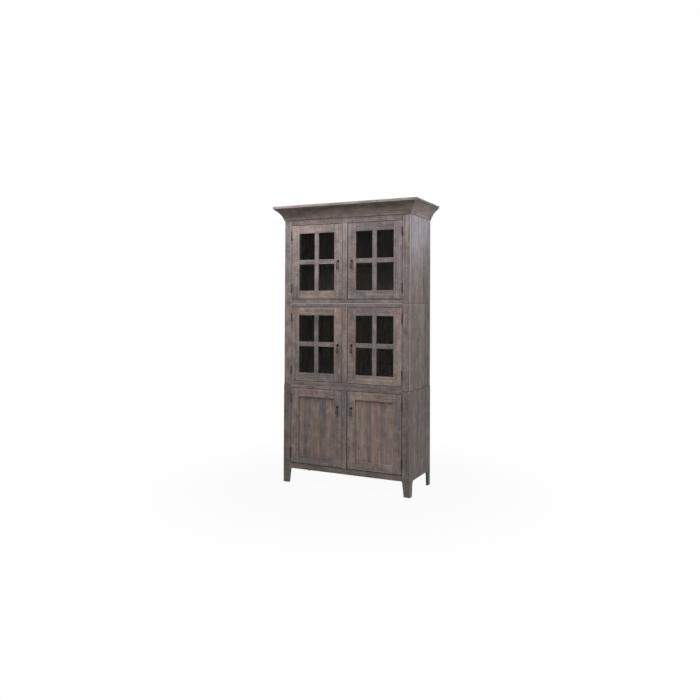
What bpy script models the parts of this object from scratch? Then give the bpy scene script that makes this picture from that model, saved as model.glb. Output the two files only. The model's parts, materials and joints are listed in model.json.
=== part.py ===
"""A stacking hutch of three cases: two pairs of glazed doors over a base with panel doors and cut feet.

X runs across the front, the front faces -Y and Z is up. The origin is on the floor, under the middle of the cap.
Every length is in metres.
"""
import math

import bmesh
import bpy
from mathutils import Matrix, Vector

# Fits and stock shared by all cases
TOUCH_GAP = 0.0003
CUT_OVERRUN = 0.002
BOARD_THICKNESS = 0.019
FACE_FRAME_THICKNESS = 0.020
BACK_THICKNESS = 0.008
BACK_LAP = 0.009

# Case outline and face frame members
CASE_WIDTH = 1.070
CASE_DEPTH = 0.4375
BASE_REVEAL = 0.002
STILE_WIDTH = 0.0635
MULLION_WIDTH = 0.0435
LOWER_BOTTOM_RAIL = 0.043
LOWER_TOP_RAIL = 0.022
MIDDLE_BOTTOM_RAIL = 0.031
MIDDLE_TOP_RAIL = 0.0275
UPPER_BOTTOM_RAIL = 0.0295
UPPER_TOP_RAIL = 0.130

# Feet sawn in the base's stiles and sides
FOOT_HEIGHT = 0.113
FRONT_TOE_WIDTH = 0.050
SIDE_TOE_WIDTH = 0.044
SIDE_FOOT_WIDTH = 0.051
SHOULDER_WIDTH = 0.015
SHOULDER_HEIGHT = 0.024

# Boards of the sides, where their joints lie across the depth
PLANK_JOINT_DEPTH = 0.0012
UPPER_JOINT_SHARES = (0.36, 0.63)
MIDDLE_JOINT_SHARES = (0.34, 0.70)
LOWER_JOINT_SHARES = (0.30, 0.65)

# Shelves and the pins they rest on
GLASS_SHELF_THICKNESS = 0.008
WOOD_SHELF_THICKNESS = 0.019
SHELF_END_CLEARANCE = 0.002
SHELF_SETBACK = 0.012
SHELF_DROP = 0.030
PIN_RADIUS = 0.003
PIN_REACH = 0.010
PIN_INSET = 0.060

# Doors
GLAZED_DOOR_HEIGHT = 0.5805
PANEL_DOOR_HEIGHT = 0.590
DOOR_THICKNESS = 0.020
DOOR_STILE_WIDTH = 0.067
DOOR_RAIL_WIDTH = 0.0645
MUNTIN_WIDTH = 0.035
HINGE_SIDE_GAP = 0.002
MEETING_GAP = 0.0035
DOOR_TOP_GAP = 0.003
DOOR_BOTTOM_GAP = 0.003
DOOR_LIP = 0.007
GROOVE_DEPTH = 0.009
GLASS_THICKNESS = 0.004
PANEL_THICKNESS = 0.009

# Butt hinges
HINGE_LENGTH = 0.0635
HINGE_CENTRE_INSET = 0.083
KNUCKLE_RADIUS = 0.0045
PIN_SHAFT_RADIUS = 0.002
LEAF_LET_IN = 0.0012
LEAF_DEPTH = 0.016
TIP_RADIUS = 0.0034
KNUCKLE_COUNT = 5
HINGE_SIDES = 10
TIP_STEPS = 3

# Drop pulls
PULL_DROP_FROM_TOP = 0.128
PULL_PROJECTION = 0.013
ROSETTE_RADIUS = 0.0095
ROSETTE_RIM = 0.0015
ROSETTE_DOME = 0.0035
POST_RADIUS = 0.0033
POST_TIP_RADIUS = 0.0040
POST_TIP_REACH = 0.0195
EYE_RADIUS = 0.0022
LOOP_LENGTH = 0.058
LOOP_TOP_HALF_WIDTH = 0.0062
LOOP_FOOT_HALF_WIDTH = 0.0072
LOOP_CORNER_RADIUS = 0.0025
LOOP_TOP_BAR_RADIUS = 0.0015
LOOP_FOOT_BAR_RADIUS = 0.0024
POST_SIDES = 12

# Cap board and cove crown
CAP_THICKNESS = 0.019
CAP_OVERHANG = 0.0735
CAP_EDGE_RADIUS = 0.0015
CROWN_HEIGHT = 0.090
CROWN_PROJECTION = 0.065
CROWN_FOOT_WIDTH = 0.005
CROWN_TOP_FLAT = 0.006
CROWN_COVE_SAG = 0.010
CROWN_WOOD = 0.016
COVE_SEGMENTS = 8

# Heights that follow from the members
LOWER_DOOR_FOOT = FOOT_HEIGHT + LOWER_BOTTOM_RAIL + DOOR_BOTTOM_GAP
LOWER_TOP = LOWER_DOOR_FOOT + PANEL_DOOR_HEIGHT + DOOR_TOP_GAP + LOWER_TOP_RAIL
MIDDLE_DOOR_FOOT = LOWER_TOP + MIDDLE_BOTTOM_RAIL + DOOR_BOTTOM_GAP
MIDDLE_TOP = MIDDLE_DOOR_FOOT + GLAZED_DOOR_HEIGHT + DOOR_TOP_GAP + MIDDLE_TOP_RAIL
UPPER_DOOR_FOOT = MIDDLE_TOP + UPPER_BOTTOM_RAIL + DOOR_BOTTOM_GAP
UPPER_TOP = UPPER_DOOR_FOOT + GLAZED_DOOR_HEIGHT + DOOR_TOP_GAP + UPPER_TOP_RAIL

# Widths and depths that follow
CASE_HALF = CASE_WIDTH / 2
REAR = (CASE_DEPTH + CAP_OVERHANG) / 2
FRONT = REAR - CASE_DEPTH
OPENING_OUTER = CASE_HALF - STILE_WIDTH
OPENING_INNER = MULLION_WIDTH / 2
DOOR_WIDTH = OPENING_OUTER - OPENING_INNER - HINGE_SIDE_GAP - MEETING_GAP
KNUCKLE_OUT = KNUCKLE_RADIUS + TOUCH_GAP

# Finishes: colour, roughness, metallic
UPPER_WOOD = ((0.30, 0.25, 0.22), 0.62, 0.0)
MIDDLE_WOOD = ((0.17, 0.14, 0.12), 0.62, 0.0)
LOWER_WOOD = ((0.13, 0.10, 0.09), 0.62, 0.0)
INSIDE_WOOD = ((0.05, 0.04, 0.035), 0.70, 0.0)
CLEAR_GLASS = ((0.80, 0.88, 0.84), 0.05, 0.0)
BLACK_IRON = ((0.02, 0.018, 0.016), 0.45, 0.8)


def clear_scene():
    for obj in list(bpy.data.objects):
        bpy.data.objects.remove(obj, do_unlink=True)


def add_material(obj, finish):
    colour, roughness, metallic = finish
    material = bpy.data.materials.new(obj.name + "_finish")
    material.use_nodes = True
    shader = material.node_tree.nodes["Principled BSDF"]
    shader.inputs["Base Color"].default_value = (*colour, 1)
    shader.inputs["Roughness"].default_value = roughness
    shader.inputs["Metallic"].default_value = metallic
    obj.data.materials.append(material)


def link_object(name, data, finish, parent=None, place=(0, 0, 0)):
    obj = bpy.data.objects.new(name, data)
    bpy.context.scene.collection.objects.link(obj)
    obj.parent = parent
    obj.location = place
    if finish:
        add_material(obj, finish)
    return obj


def mesh_object(name, bm, finish=None, parent=None, place=(0, 0, 0), round_piece=False):
    bmesh.ops.recalc_face_normals(bm, faces=bm.faces)
    mesh = bpy.data.meshes.new(name)
    bm.to_mesh(mesh)
    bm.free()
    if round_piece:
        mesh.shade_smooth()
        mesh.set_sharp_from_angle(angle=math.radians(40))
    return link_object(name, mesh, finish, parent, place)


def guide_object(name, bm, parent=None, place=(0, 0, 0)):
    guide = mesh_object(name, bm, None, parent, place)
    guide.hide_render = True
    guide.display_type = "WIRE"
    return guide


def combine(obj, guide, operation):
    modifier = obj.modifiers.new(guide.name, "BOOLEAN")
    modifier.object = guide
    modifier.operation = operation


def add_box(bm, low, high):
    low, high = Vector(low), Vector(high)
    centre = (low + high) / 2
    size = high - low
    matrix = Matrix.Translation(centre) @ Matrix.Diagonal((*size, 1))
    bmesh.ops.create_cube(bm, size=1, matrix=matrix)


def box_mesh(low, high):
    bm = bmesh.new()
    add_box(bm, low, high)
    return bm


def add_prism(bm, outline, axis, low, high):
    order = {"X": (2, 0, 1), "Y": (0, 2, 1), "Z": (0, 1, 2)}[axis]
    verts = []
    for across, up in outline:
        values = (across, up, low)
        verts.append(bm.verts.new([values[index] for index in order]))
    face = bm.faces.new(verts)
    grown = bmesh.ops.extrude_face_region(bm, geom=[face])["geom"]
    shift = [(0, 0, high - low)[index] for index in order]
    bmesh.ops.translate(bm, vec=shift, verts=[item for item in grown if isinstance(item, bmesh.types.BMVert)])


def prism_mesh(outline, axis, low, high):
    bm = bmesh.new()
    add_prism(bm, outline, axis, low, high)
    return bm


def add_lathe(bm, profile, axis, sides):
    start = "XYZ".index(axis)
    side = (start + 1) % 3
    verts = []
    for radius, height in profile:
        point = Vector((0, 0, 0))
        point[start] = height
        point[side] = radius
        verts.append(bm.verts.new(point))
    edges = [bm.edges.new(pair) for pair in zip(verts, verts[1:])]
    direction = Vector((0, 0, 0))
    direction[start] = 1
    bmesh.ops.spin(bm, geom=verts + edges, axis=direction, cent=(0, 0, 0), steps=sides, angle=math.tau)
    bmesh.ops.remove_doubles(bm, verts=bm.verts, dist=TOUCH_GAP / 100)


def ball_profile(radius, centre, start_angle, steps):
    """Points (radius, height) from start_angle, counted from the equator, over to the pole."""
    points = []
    for step in range(steps + 1):
        angle = start_angle + (math.pi / 2 - start_angle) * step / steps
        points.append((max(radius * math.cos(angle), 0), centre + radius * math.sin(angle)))
    points[-1] = (0, centre + radius)
    return points


class Case:
    """One of the three stacked boxes, with the places its pieces share."""

    def __init__(self, name, foot, top, rails, door_height, finish, joint_shares, reveal=0, floor=None):
        self.name = name
        self.foot = foot
        self.top = top
        self.bottom_rail, self.top_rail = rails
        self.door_height = door_height
        self.finish = finish
        self.joint_shares = joint_shares
        self.half = CASE_HALF + reveal
        self.front = FRONT - reveal
        self.floor = foot if floor is None else floor
        self.door_foot = self.floor + self.bottom_rail + DOOR_BOTTOM_GAP
        self.inner_half = self.half - BOARD_THICKNESS
        self.inner_front = self.front + FACE_FRAME_THICKNESS + TOUCH_GAP
        self.inner_rear = REAR - BACK_THICKNESS - TOUCH_GAP

    def bottom_board_top(self):
        return self.floor + self.bottom_rail

    def shelf_foot(self, thickness):
        """Underside of the shelf, a little below the middle of the doors."""
        return self.door_foot + (self.door_height - thickness) / 2 - SHELF_DROP

    def hinge_heights(self):
        return {
            "bottom": self.door_foot + HINGE_CENTRE_INSET,
            "top": self.door_foot + self.door_height - HINGE_CENTRE_INSET,
        }


def side_outline(case, hand):
    outer = case.half
    inner = case.inner_half
    lap = inner + BACK_LAP
    start = case.inner_front
    depth = REAR - start
    outline = [(inner, start), (outer, start)]
    for share in case.joint_shares:
        joint = start + depth * share
        outline.append((outer, joint - PLANK_JOINT_DEPTH))
        outline.append((outer - PLANK_JOINT_DEPTH, joint))
        outline.append((outer, joint + PLANK_JOINT_DEPTH))
    outline += [(outer, REAR), (lap, REAR), (lap, case.inner_rear), (inner, case.inner_rear)]
    return [(hand * x, y) for x, y in outline]


def foot_gap_outline(case):
    """The space between the feet of a side, with a sloped shoulder at the front foot and at the rear foot."""
    under = case.foot - CUT_OVERRUN
    lean = (SIDE_FOOT_WIDTH - SIDE_TOE_WIDTH) / (case.floor - SHOULDER_HEIGHT - case.foot)
    toe = SIDE_TOE_WIDTH - lean * CUT_OVERRUN
    shoulder = case.floor - SHOULDER_HEIGHT
    front, rear = case.front, REAR
    return [
        (front + toe, under),
        (front + SIDE_FOOT_WIDTH, shoulder),
        (front + SIDE_FOOT_WIDTH + SHOULDER_WIDTH, case.floor),
        (rear - SIDE_FOOT_WIDTH - SHOULDER_WIDTH, case.floor),
        (rear - SIDE_FOOT_WIDTH, shoulder),
        (rear - toe, under),
    ]


def build_side(case, word, hand, shelf_foot):
    name = f"{case.name}_{word}_side"
    low = case.foot + (TOUCH_GAP if case.foot else 0)
    side = mesh_object(name, prism_mesh(side_outline(case, hand), "Z", low, case.top), case.finish)
    pins = bmesh.new()
    for depth in (case.inner_front + PIN_INSET, case.inner_rear - PIN_INSET):
        pin = bmesh.new()
        reach = (case.inner_half - PIN_REACH, case.inner_half + CUT_OVERRUN)
        profile = [(0, reach[0]), (PIN_RADIUS, reach[0]), (PIN_RADIUS, reach[1]), (0, reach[1])]
        add_lathe(pin, [(radius, hand * x) for radius, x in profile], "X", HINGE_SIDES)
        bmesh.ops.translate(pin, vec=(0, depth, shelf_foot - TOUCH_GAP - PIN_RADIUS), verts=pin.verts)
        merge_into(pins, pin)
    combine(side, guide_object(name + "_pins", pins), "UNION")
    if case.floor > case.foot:
        reach = [case.inner_half - CUT_OVERRUN, case.half + CUT_OVERRUN]
        gap = prism_mesh(foot_gap_outline(case), "X", hand * reach[0], hand * reach[1])
        combine(side, guide_object(name + "_foot_gap", gap), "DIFFERENCE")


def merge_into(target, source):
    mesh = bpy.data.meshes.new("merge")
    source.to_mesh(mesh)
    source.free()
    target.from_mesh(mesh)
    bpy.data.meshes.remove(mesh)


def face_frame_outline(case):
    """Outer outline, with the two front feet under the bottom rail of the base."""
    top = case.top
    if case.floor == case.foot:
        low = case.foot + TOUCH_GAP
        return [(-case.half, low), (case.half, low), (case.half, top), (-case.half, top)]
    knee = OPENING_OUTER
    toe = case.half - FRONT_TOE_WIDTH
    right = [(knee, case.floor), (toe, case.foot), (case.half, case.foot), (case.half, top)]
    return [(-x, z) for x, z in reversed(right)] + right


def build_face_frame(case):
    rear = case.front + FACE_FRAME_THICKNESS
    name = f"{case.name}_face_frame"
    frame = mesh_object(name, prism_mesh(face_frame_outline(case), "Y", case.front, rear), case.finish)
    openings = bmesh.new()
    pockets = bmesh.new()
    deep = LEAF_LET_IN + TOUCH_GAP
    tall = HINGE_LENGTH / 2 + TOUCH_GAP
    for hand in (-1, 1):
        reach = sorted((hand * OPENING_INNER, hand * OPENING_OUTER))
        low = (reach[0], case.front - CUT_OVERRUN, case.bottom_board_top())
        high = (reach[1], rear + CUT_OVERRUN, case.top - case.top_rail)
        add_box(openings, low, high)
        side = sorted((hand * (OPENING_OUTER - CUT_OVERRUN), hand * (OPENING_OUTER + deep)))
        for height in case.hinge_heights().values():
            low = (side[0], case.front - CUT_OVERRUN, height - tall)
            high = (side[1], case.front + LEAF_DEPTH + TOUCH_GAP, height + tall)
            add_box(pockets, low, high)
    combine(frame, guide_object(name + "_openings", openings), "DIFFERENCE")
    combine(frame, guide_object(name + "_pockets", pockets), "DIFFERENCE")


def build_back(case):
    half = case.inner_half + BACK_LAP - TOUCH_GAP
    low = (-half, REAR - BACK_THICKNESS, case.floor + (0 if case.floor > case.foot else TOUCH_GAP))
    mesh_object(f"{case.name}_back", box_mesh(low, (half, REAR, case.top)), INSIDE_WOOD)


def build_board(case, word, top):
    half = case.inner_half - TOUCH_GAP
    low = (-half, case.inner_front, top - BOARD_THICKNESS)
    high = (half, case.inner_rear - TOUCH_GAP, top)
    mesh_object(f"{case.name}_{word}_board", box_mesh(low, high), INSIDE_WOOD)


def build_shelf(case, word, thickness, finish):
    half = case.inner_half - SHELF_END_CLEARANCE
    foot = case.shelf_foot(thickness)
    low = (-half, case.inner_front + SHELF_SETBACK, foot)
    high = (half, case.inner_rear - SHELF_END_CLEARANCE, foot + thickness)
    mesh_object(f"{case.name}_{word}_shelf", box_mesh(low, high), finish)
    return foot


def knuckle_spans(first):
    """Heights of every second knuckle, counted from the foot of the barrel."""
    pitch = HINGE_LENGTH / KNUCKLE_COUNT
    spans = []
    for index in range(first, KNUCKLE_COUNT, 2):
        low = -HINGE_LENGTH / 2 + pitch * index
        spans.append((low + TOUCH_GAP / 2, low + pitch - TOUCH_GAP / 2))
    return spans


def comb_outline(spans):
    """Side view of a leaf, (depth, height): a plate behind the wood's face with necks forward to the knuckles."""
    front = KNUCKLE_OUT + TOUCH_GAP
    rear = KNUCKLE_OUT + LEAF_DEPTH
    half = HINGE_LENGTH / 2
    outline = [(rear, -half), (front, -half)]
    for low, high in spans:
        outline += [(front, low + TOUCH_GAP), (0, low + TOUCH_GAP), (0, high - TOUCH_GAP), (front, high - TOUCH_GAP)]
    outline += [(front, half), (rear, half)]
    return outline


def leaf_guide(name, hand, spans, parent=None, place=(0, 0, 0)):
    """A leaf let into the wood's edge on the hand side of the pin."""
    near = hand * TOUCH_GAP / 2
    far = hand * (HINGE_SIDE_GAP / 2 + LEAF_LET_IN)
    return guide_object(name, prism_mesh(comb_outline(spans), "X", near, far), parent, place)


def barrel_profile(spans):
    """The knuckles of the fixed leaf on their pin, with a round tip at each end."""
    half = HINGE_LENGTH / 2
    seat = math.acos(PIN_SHAFT_RADIUS / TIP_RADIUS)
    centre = half + TIP_RADIUS * math.sin(seat)
    tip = ball_profile(TIP_RADIUS, centre, -seat, TIP_STEPS)
    profile = [(radius, -height) for radius, height in reversed(tip)]
    for low, high in spans:
        profile += [(PIN_SHAFT_RADIUS, low), (KNUCKLE_RADIUS, low), (KNUCKLE_RADIUS, high), (PIN_SHAFT_RADIUS, high)]
    return profile + tip


def build_hinge(case, word, hand, end, height):
    """The fixed leaf of a butt hinge, let into the face frame, with its pin and three knuckles."""
    name = f"{case.name}_{word}_{end}_hinge"
    spans = knuckle_spans(0)
    bm = bmesh.new()
    add_lathe(bm, barrel_profile(spans), "Z", HINGE_SIDES)
    place = (hand * (OPENING_OUTER - HINGE_SIDE_GAP / 2), case.front - KNUCKLE_OUT, height)
    barrel = mesh_object(name, bm, BLACK_IRON, None, place, True)
    combine(barrel, leaf_guide(name + "_leaf", hand, spans, None, place), "UNION")


def moving_leaf(name, hand, parent, height):
    """The moving leaf's plate and its two bored knuckles, to be joined to the door's edge."""
    spans = knuckle_spans(1)
    place = (0, 0, height)
    body = leaf_guide(name, -hand, spans, parent, place)
    rings = bmesh.new()
    bores = bmesh.new()
    bore_radius = PIN_SHAFT_RADIUS + TOUCH_GAP * 2
    half = HINGE_LENGTH / 2
    for low, high in spans:
        ring = bmesh.new()
        add_lathe(ring, [(0, low), (KNUCKLE_RADIUS, low), (KNUCKLE_RADIUS, high), (0, high)], "Z", HINGE_SIDES)
        merge_into(rings, ring)
    add_lathe(bores, [(0, -half), (bore_radius, -half), (bore_radius, half), (0, half)], "Z", HINGE_SIDES)
    half_facet = Matrix.Rotation(math.pi / HINGE_SIDES, 3, "Z")
    bmesh.ops.rotate(bores, cent=(0, 0, 0), matrix=half_facet, verts=bores.verts)
    combine(body, guide_object(name + "_rings", rings, parent, place), "UNION")
    combine(body, guide_object(name + "_bore", bores, parent, place), "DIFFERENCE")
    return body


def door_reach(hand):
    """X of the hinge edge and of the meeting edge, from the pin, for a door on the hand side."""
    near = HINGE_SIDE_GAP / 2
    return -hand * near, -hand * (near + DOOR_WIDTH)


def door_opening(case, hand):
    """X and Z limits of the space inside a door's stiles and rails."""
    edges = sorted(door_reach(hand))
    across = (edges[0] + DOOR_STILE_WIDTH, edges[1] - DOOR_STILE_WIDTH)
    return across, (DOOR_RAIL_WIDTH, case.door_height - DOOR_RAIL_WIDTH)


def sight_boxes(case, hand, glazed):
    across, up = door_opening(case, hand)
    if not glazed:
        return [(across, up)]
    boxes = []
    middles = [(low + high) / 2 for low, high in (across, up)]
    halves = MUNTIN_WIDTH / 2
    for x_span in ((across[0], middles[0] - halves), (middles[0] + halves, across[1])):
        for z_span in ((up[0], middles[1] - halves), (middles[1] + halves, up[1])):
            boxes.append((x_span, z_span))
    return boxes


def build_door(case, word, hand, glazed):
    name = f"{case.name}_{word}_door"
    place = (hand * (OPENING_OUTER - HINGE_SIDE_GAP / 2), case.front - KNUCKLE_OUT, case.door_foot)
    pin = link_object(name + "_pin_line", None, None, None, place)
    front = KNUCKLE_OUT
    rear = front + DOOR_THICKNESS
    edges = sorted(door_reach(hand))
    board = box_mesh((edges[0], front, 0), (edges[1], rear, case.door_height))
    frame = mesh_object(name + "_frame", board, case.finish, pin)

    sights = bmesh.new()
    for x_span, z_span in sight_boxes(case, hand, glazed):
        low = (x_span[0], front - CUT_OVERRUN, z_span[0])
        add_box(sights, low, (x_span[1], rear + CUT_OVERRUN, z_span[1]))
    combine(frame, guide_object(name + "_sights", sights, pin), "DIFFERENCE")

    filling = GLASS_THICKNESS if glazed else PANEL_THICKNESS
    across, up = door_opening(case, hand)
    face = front + DOOR_LIP
    low = (across[0] - GROOVE_DEPTH, face, up[0] - GROOVE_DEPTH)
    high = (across[1] + GROOVE_DEPTH, face + filling + TOUCH_GAP * 2, up[1] + GROOVE_DEPTH)
    combine(frame, guide_object(name + "_groove", box_mesh(low, high), pin), "DIFFERENCE")

    inset = Vector((TOUCH_GAP, TOUCH_GAP, TOUCH_GAP))
    sheet = box_mesh(Vector(low) + inset, Vector(high) - inset)
    kind, finish = ("glass", CLEAR_GLASS) if glazed else ("panel", case.finish)
    mesh_object(f"{name}_{kind}", sheet, finish, pin)

    for end, height in case.hinge_heights().items():
        leaf = moving_leaf(f"{name}_{end}_leaf", hand, pin, height - case.door_foot)
        combine(frame, leaf, "UNION")
    rise = case.door_height / 2 if glazed else case.door_height - PULL_DROP_FROM_TOP
    reach = hand * (DOOR_STILE_WIDTH / 2 - HINGE_SIDE_GAP / 2 - DOOR_WIDTH)
    build_pull(f"{case.name}_{word}_pull", pin, (reach, front - TOUCH_GAP, rise))


def build_pull(name, parent, place):
    """A domed rosette and post, bored crosswise for the loop that hangs through it."""
    neck = ROSETTE_RIM + ROSETTE_DOME
    shelf_share = 0.75
    profile = [
        (0, 0),
        (ROSETTE_RADIUS, 0),
        (ROSETTE_RADIUS, ROSETTE_RIM),
        (ROSETTE_RADIUS * shelf_share, ROSETTE_RIM + ROSETTE_DOME * shelf_share),
        (POST_RADIUS, neck),
    ]
    seat = math.acos(POST_RADIUS / POST_TIP_RADIUS)
    tip = ball_profile(POST_TIP_RADIUS, POST_TIP_REACH - POST_TIP_RADIUS, -seat, TIP_STEPS)
    profile += tip
    bm = bmesh.new()
    add_lathe(bm, [(radius, -out) for radius, out in profile], "Y", POST_SIDES)
    post = mesh_object(name + "_post", bm, BLACK_IRON, parent, place, True)
    bore = bmesh.new()
    half = POST_TIP_RADIUS + CUT_OVERRUN
    add_lathe(bore, [(0, -half), (EYE_RADIUS, -half), (EYE_RADIUS, half), (0, half)], "X", HINGE_SIDES)
    axis_place = (place[0], place[1] - PULL_PROJECTION, place[2])
    combine(post, guide_object(name + "_eye", bore, parent, axis_place), "DIFFERENCE")
    build_loop(name + "_drop", parent, axis_place)


def loop_points():
    """Centre line of the loop from the middle of its top bar, clockwise: (across, up, bar radius)."""
    top_x = LOOP_TOP_HALF_WIDTH - LOOP_CORNER_RADIUS
    foot_x = LOOP_FOOT_HALF_WIDTH
    foot_z = foot_x - LOOP_LENGTH
    right = []
    for step in range(4):
        angle = math.pi / 2 * (1 - step / 3)
        x = top_x + LOOP_CORNER_RADIUS * math.cos(angle)
        z = LOOP_CORNER_RADIUS * (math.sin(angle) - 1)
        right.append((x, z))
    for step in range(5):
        angle = -math.pi / 2 * step / 4
        right.append((foot_x * math.cos(angle), foot_z + foot_x * math.sin(angle)))
    left = [(-x, z) for x, z in reversed(right[:-1])]
    points = []
    for x, z in right + left:
        share = -z / LOOP_LENGTH
        points.append((x, z, LOOP_TOP_BAR_RADIUS + (LOOP_FOOT_BAR_RADIUS - LOOP_TOP_BAR_RADIUS) * share))
    return points


def build_loop(name, parent, place):
    """The hanging loop, its top bar on the axis that it swings about."""
    curve = bpy.data.curves.new(name, "CURVE")
    curve.dimensions = "3D"
    curve.bevel_depth = 1
    curve.bevel_resolution = 2
    points = loop_points()
    spline = curve.splines.new("POLY")
    spline.points.add(len(points) - 1)
    for point, (x, z, radius) in zip(spline.points, points):
        point.co = (x, 0, z, 1)
        point.radius = radius
    spline.use_cyclic_u = True
    link_object(name, curve, BLACK_IRON, parent, place)


def crown_outline():
    """Section of the sprung cove: (distance out from the case, height)."""
    foot = UPPER_TOP - CROWN_HEIGHT
    top = UPPER_TOP - TOUCH_GAP
    start = Vector((TOUCH_GAP + CROWN_FOOT_WIDTH, foot))
    end = Vector((CROWN_PROJECTION, top - CROWN_TOP_FLAT))
    chord = end - start
    radius = chord.length ** 2 / CROWN_COVE_SAG / 8 + CROWN_COVE_SAG / 2
    normal = Vector((chord.y, -chord.x)).normalized()
    centre = (start + end) / 2 + normal * (radius - CROWN_COVE_SAG)
    first = math.atan2(start.y - centre.y, start.x - centre.x)
    last = math.atan2(end.y - centre.y, end.x - centre.x)
    sweep = (last - first + math.pi) % math.tau - math.pi
    outline = [(TOUCH_GAP, foot)]
    for step in range(COVE_SEGMENTS + 1):
        angle = first + sweep * step / COVE_SEGMENTS
        outline.append((centre.x + radius * math.cos(angle), centre.y + radius * math.sin(angle)))
    outline += [(CROWN_PROJECTION, top), (CROWN_PROJECTION - CROWN_WOOD, top), (TOUCH_GAP, foot + CROWN_WOOD)]
    return outline


def build_crown():
    """Three mitred lengths of cove round the front and the sides of the upper case."""
    outline = crown_outline()
    mitre = TOUCH_GAP / 2

    def loft(name, place_low, place_high):
        bm = bmesh.new()
        low = [bm.verts.new(place_low(out, z)) for out, z in outline]
        high = [bm.verts.new(place_high(out, z)) for out, z in outline]
        bm.faces.new(low)
        bm.faces.new(high)
        for index in range(len(outline)):
            after = (index + 1) % len(outline)
            bm.faces.new((low[index], low[after], high[after], high[index]))
        mesh_object(name, bm, MIDDLE_WOOD)

    loft(
        "crown_front",
        lambda out, z: (-CASE_HALF - out + mitre, FRONT - out, z),
        lambda out, z: (CASE_HALF + out - mitre, FRONT - out, z),
    )
    for word, hand in (("left", -1), ("right", 1)):
        loft(
            f"crown_{word}",
            lambda out, z: (hand * (CASE_HALF + out), FRONT - out + mitre, z),
            lambda out, z: (hand * (CASE_HALF + out), REAR, z),
        )


def build_cap():
    out = CAP_OVERHANG
    low = (-CASE_HALF - out, FRONT - out, UPPER_TOP + TOUCH_GAP)
    high = (CASE_HALF + out, REAR, UPPER_TOP + TOUCH_GAP + CAP_THICKNESS)
    cap = mesh_object("cap_board", box_mesh(low, high), MIDDLE_WOOD)
    edge = cap.modifiers.new("eased_edges", "BEVEL")
    edge.width = CAP_EDGE_RADIUS
    edge.segments = 2


def build_case(case, shelf_word, shelf_thickness, shelf_finish, glazed, boards):
    shelf_foot = build_shelf(case, shelf_word, shelf_thickness, shelf_finish)
    build_face_frame(case)
    build_back(case)
    for word, top in boards.items():
        build_board(case, word, top)
    for word, hand in (("left", -1), ("right", 1)):
        build_side(case, word, hand, shelf_foot)
        build_door(case, word, hand, glazed)
        for end, height in case.hinge_heights().items():
            build_hinge(case, word, hand, end, height)


def build_hutch():
    clear_scene()
    lower = Case(
        "lower", 0, LOWER_TOP, (LOWER_BOTTOM_RAIL, LOWER_TOP_RAIL), PANEL_DOOR_HEIGHT,
        LOWER_WOOD, LOWER_JOINT_SHARES, BASE_REVEAL, FOOT_HEIGHT,
    )
    middle = Case(
        "middle", LOWER_TOP, MIDDLE_TOP, (MIDDLE_BOTTOM_RAIL, MIDDLE_TOP_RAIL), GLAZED_DOOR_HEIGHT,
        MIDDLE_WOOD, MIDDLE_JOINT_SHARES,
    )
    upper = Case(
        "upper", MIDDLE_TOP, UPPER_TOP, (UPPER_BOTTOM_RAIL, UPPER_TOP_RAIL), GLAZED_DOOR_HEIGHT,
        UPPER_WOOD, UPPER_JOINT_SHARES,
    )
    lower_boards = {"bottom": lower.bottom_board_top(), "top": lower.top}
    middle_boards = {"bottom": middle.bottom_board_top(), "top": middle.top}
    upper_boards = {"bottom": upper.bottom_board_top()}
    build_case(lower, "wood", WOOD_SHELF_THICKNESS, INSIDE_WOOD, False, lower_boards)
    build_case(middle, "glass", GLASS_SHELF_THICKNESS, CLEAR_GLASS, True, middle_boards)
    build_case(upper, "glass", GLASS_SHELF_THICKNESS, CLEAR_GLASS, True, upper_boards)
    build_crown()
    build_cap()


build_hutch()
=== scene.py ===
"""The stacking hutch, dressed: stained rough-sawn boards, glass, black iron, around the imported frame."""
import json
import math
import random

import bmesh
import bpy
from mathutils import Matrix, Vector


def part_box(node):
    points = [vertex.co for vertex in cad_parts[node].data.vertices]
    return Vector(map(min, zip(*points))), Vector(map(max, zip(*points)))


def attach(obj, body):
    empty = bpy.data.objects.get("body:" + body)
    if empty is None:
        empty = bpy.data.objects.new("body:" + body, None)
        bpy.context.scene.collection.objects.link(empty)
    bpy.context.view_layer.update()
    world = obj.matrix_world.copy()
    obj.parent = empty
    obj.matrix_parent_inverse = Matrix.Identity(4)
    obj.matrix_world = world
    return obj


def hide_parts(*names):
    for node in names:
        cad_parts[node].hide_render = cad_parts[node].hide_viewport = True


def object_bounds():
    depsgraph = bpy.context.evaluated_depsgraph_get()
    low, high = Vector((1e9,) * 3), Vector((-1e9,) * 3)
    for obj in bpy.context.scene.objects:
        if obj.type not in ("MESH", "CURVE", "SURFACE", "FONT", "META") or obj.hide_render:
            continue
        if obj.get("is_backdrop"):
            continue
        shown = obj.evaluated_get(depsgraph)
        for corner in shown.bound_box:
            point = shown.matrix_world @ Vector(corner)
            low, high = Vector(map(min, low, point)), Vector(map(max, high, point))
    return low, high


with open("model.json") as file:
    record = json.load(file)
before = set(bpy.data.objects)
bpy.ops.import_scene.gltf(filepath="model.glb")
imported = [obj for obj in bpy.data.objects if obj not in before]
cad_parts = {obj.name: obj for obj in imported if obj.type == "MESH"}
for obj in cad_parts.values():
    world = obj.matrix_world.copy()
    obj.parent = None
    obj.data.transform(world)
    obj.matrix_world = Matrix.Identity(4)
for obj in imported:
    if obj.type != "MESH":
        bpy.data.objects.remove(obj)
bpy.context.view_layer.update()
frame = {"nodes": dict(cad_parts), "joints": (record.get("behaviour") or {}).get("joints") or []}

# Studio: a white floor that keeps the hutch's shadow, soft lights in front of it, behind it and on the
# cornice, and the camera at the photograph's angle. None of it belongs to the hutch.
CAMERA_PLACE = Vector((2.3197, -4.8553, 1.3981))
CAMERA_YAW, CAMERA_PITCH, CAMERA_ROLL = (math.radians(degrees) for degrees in (25.96, 0.741, 0.235))
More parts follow.
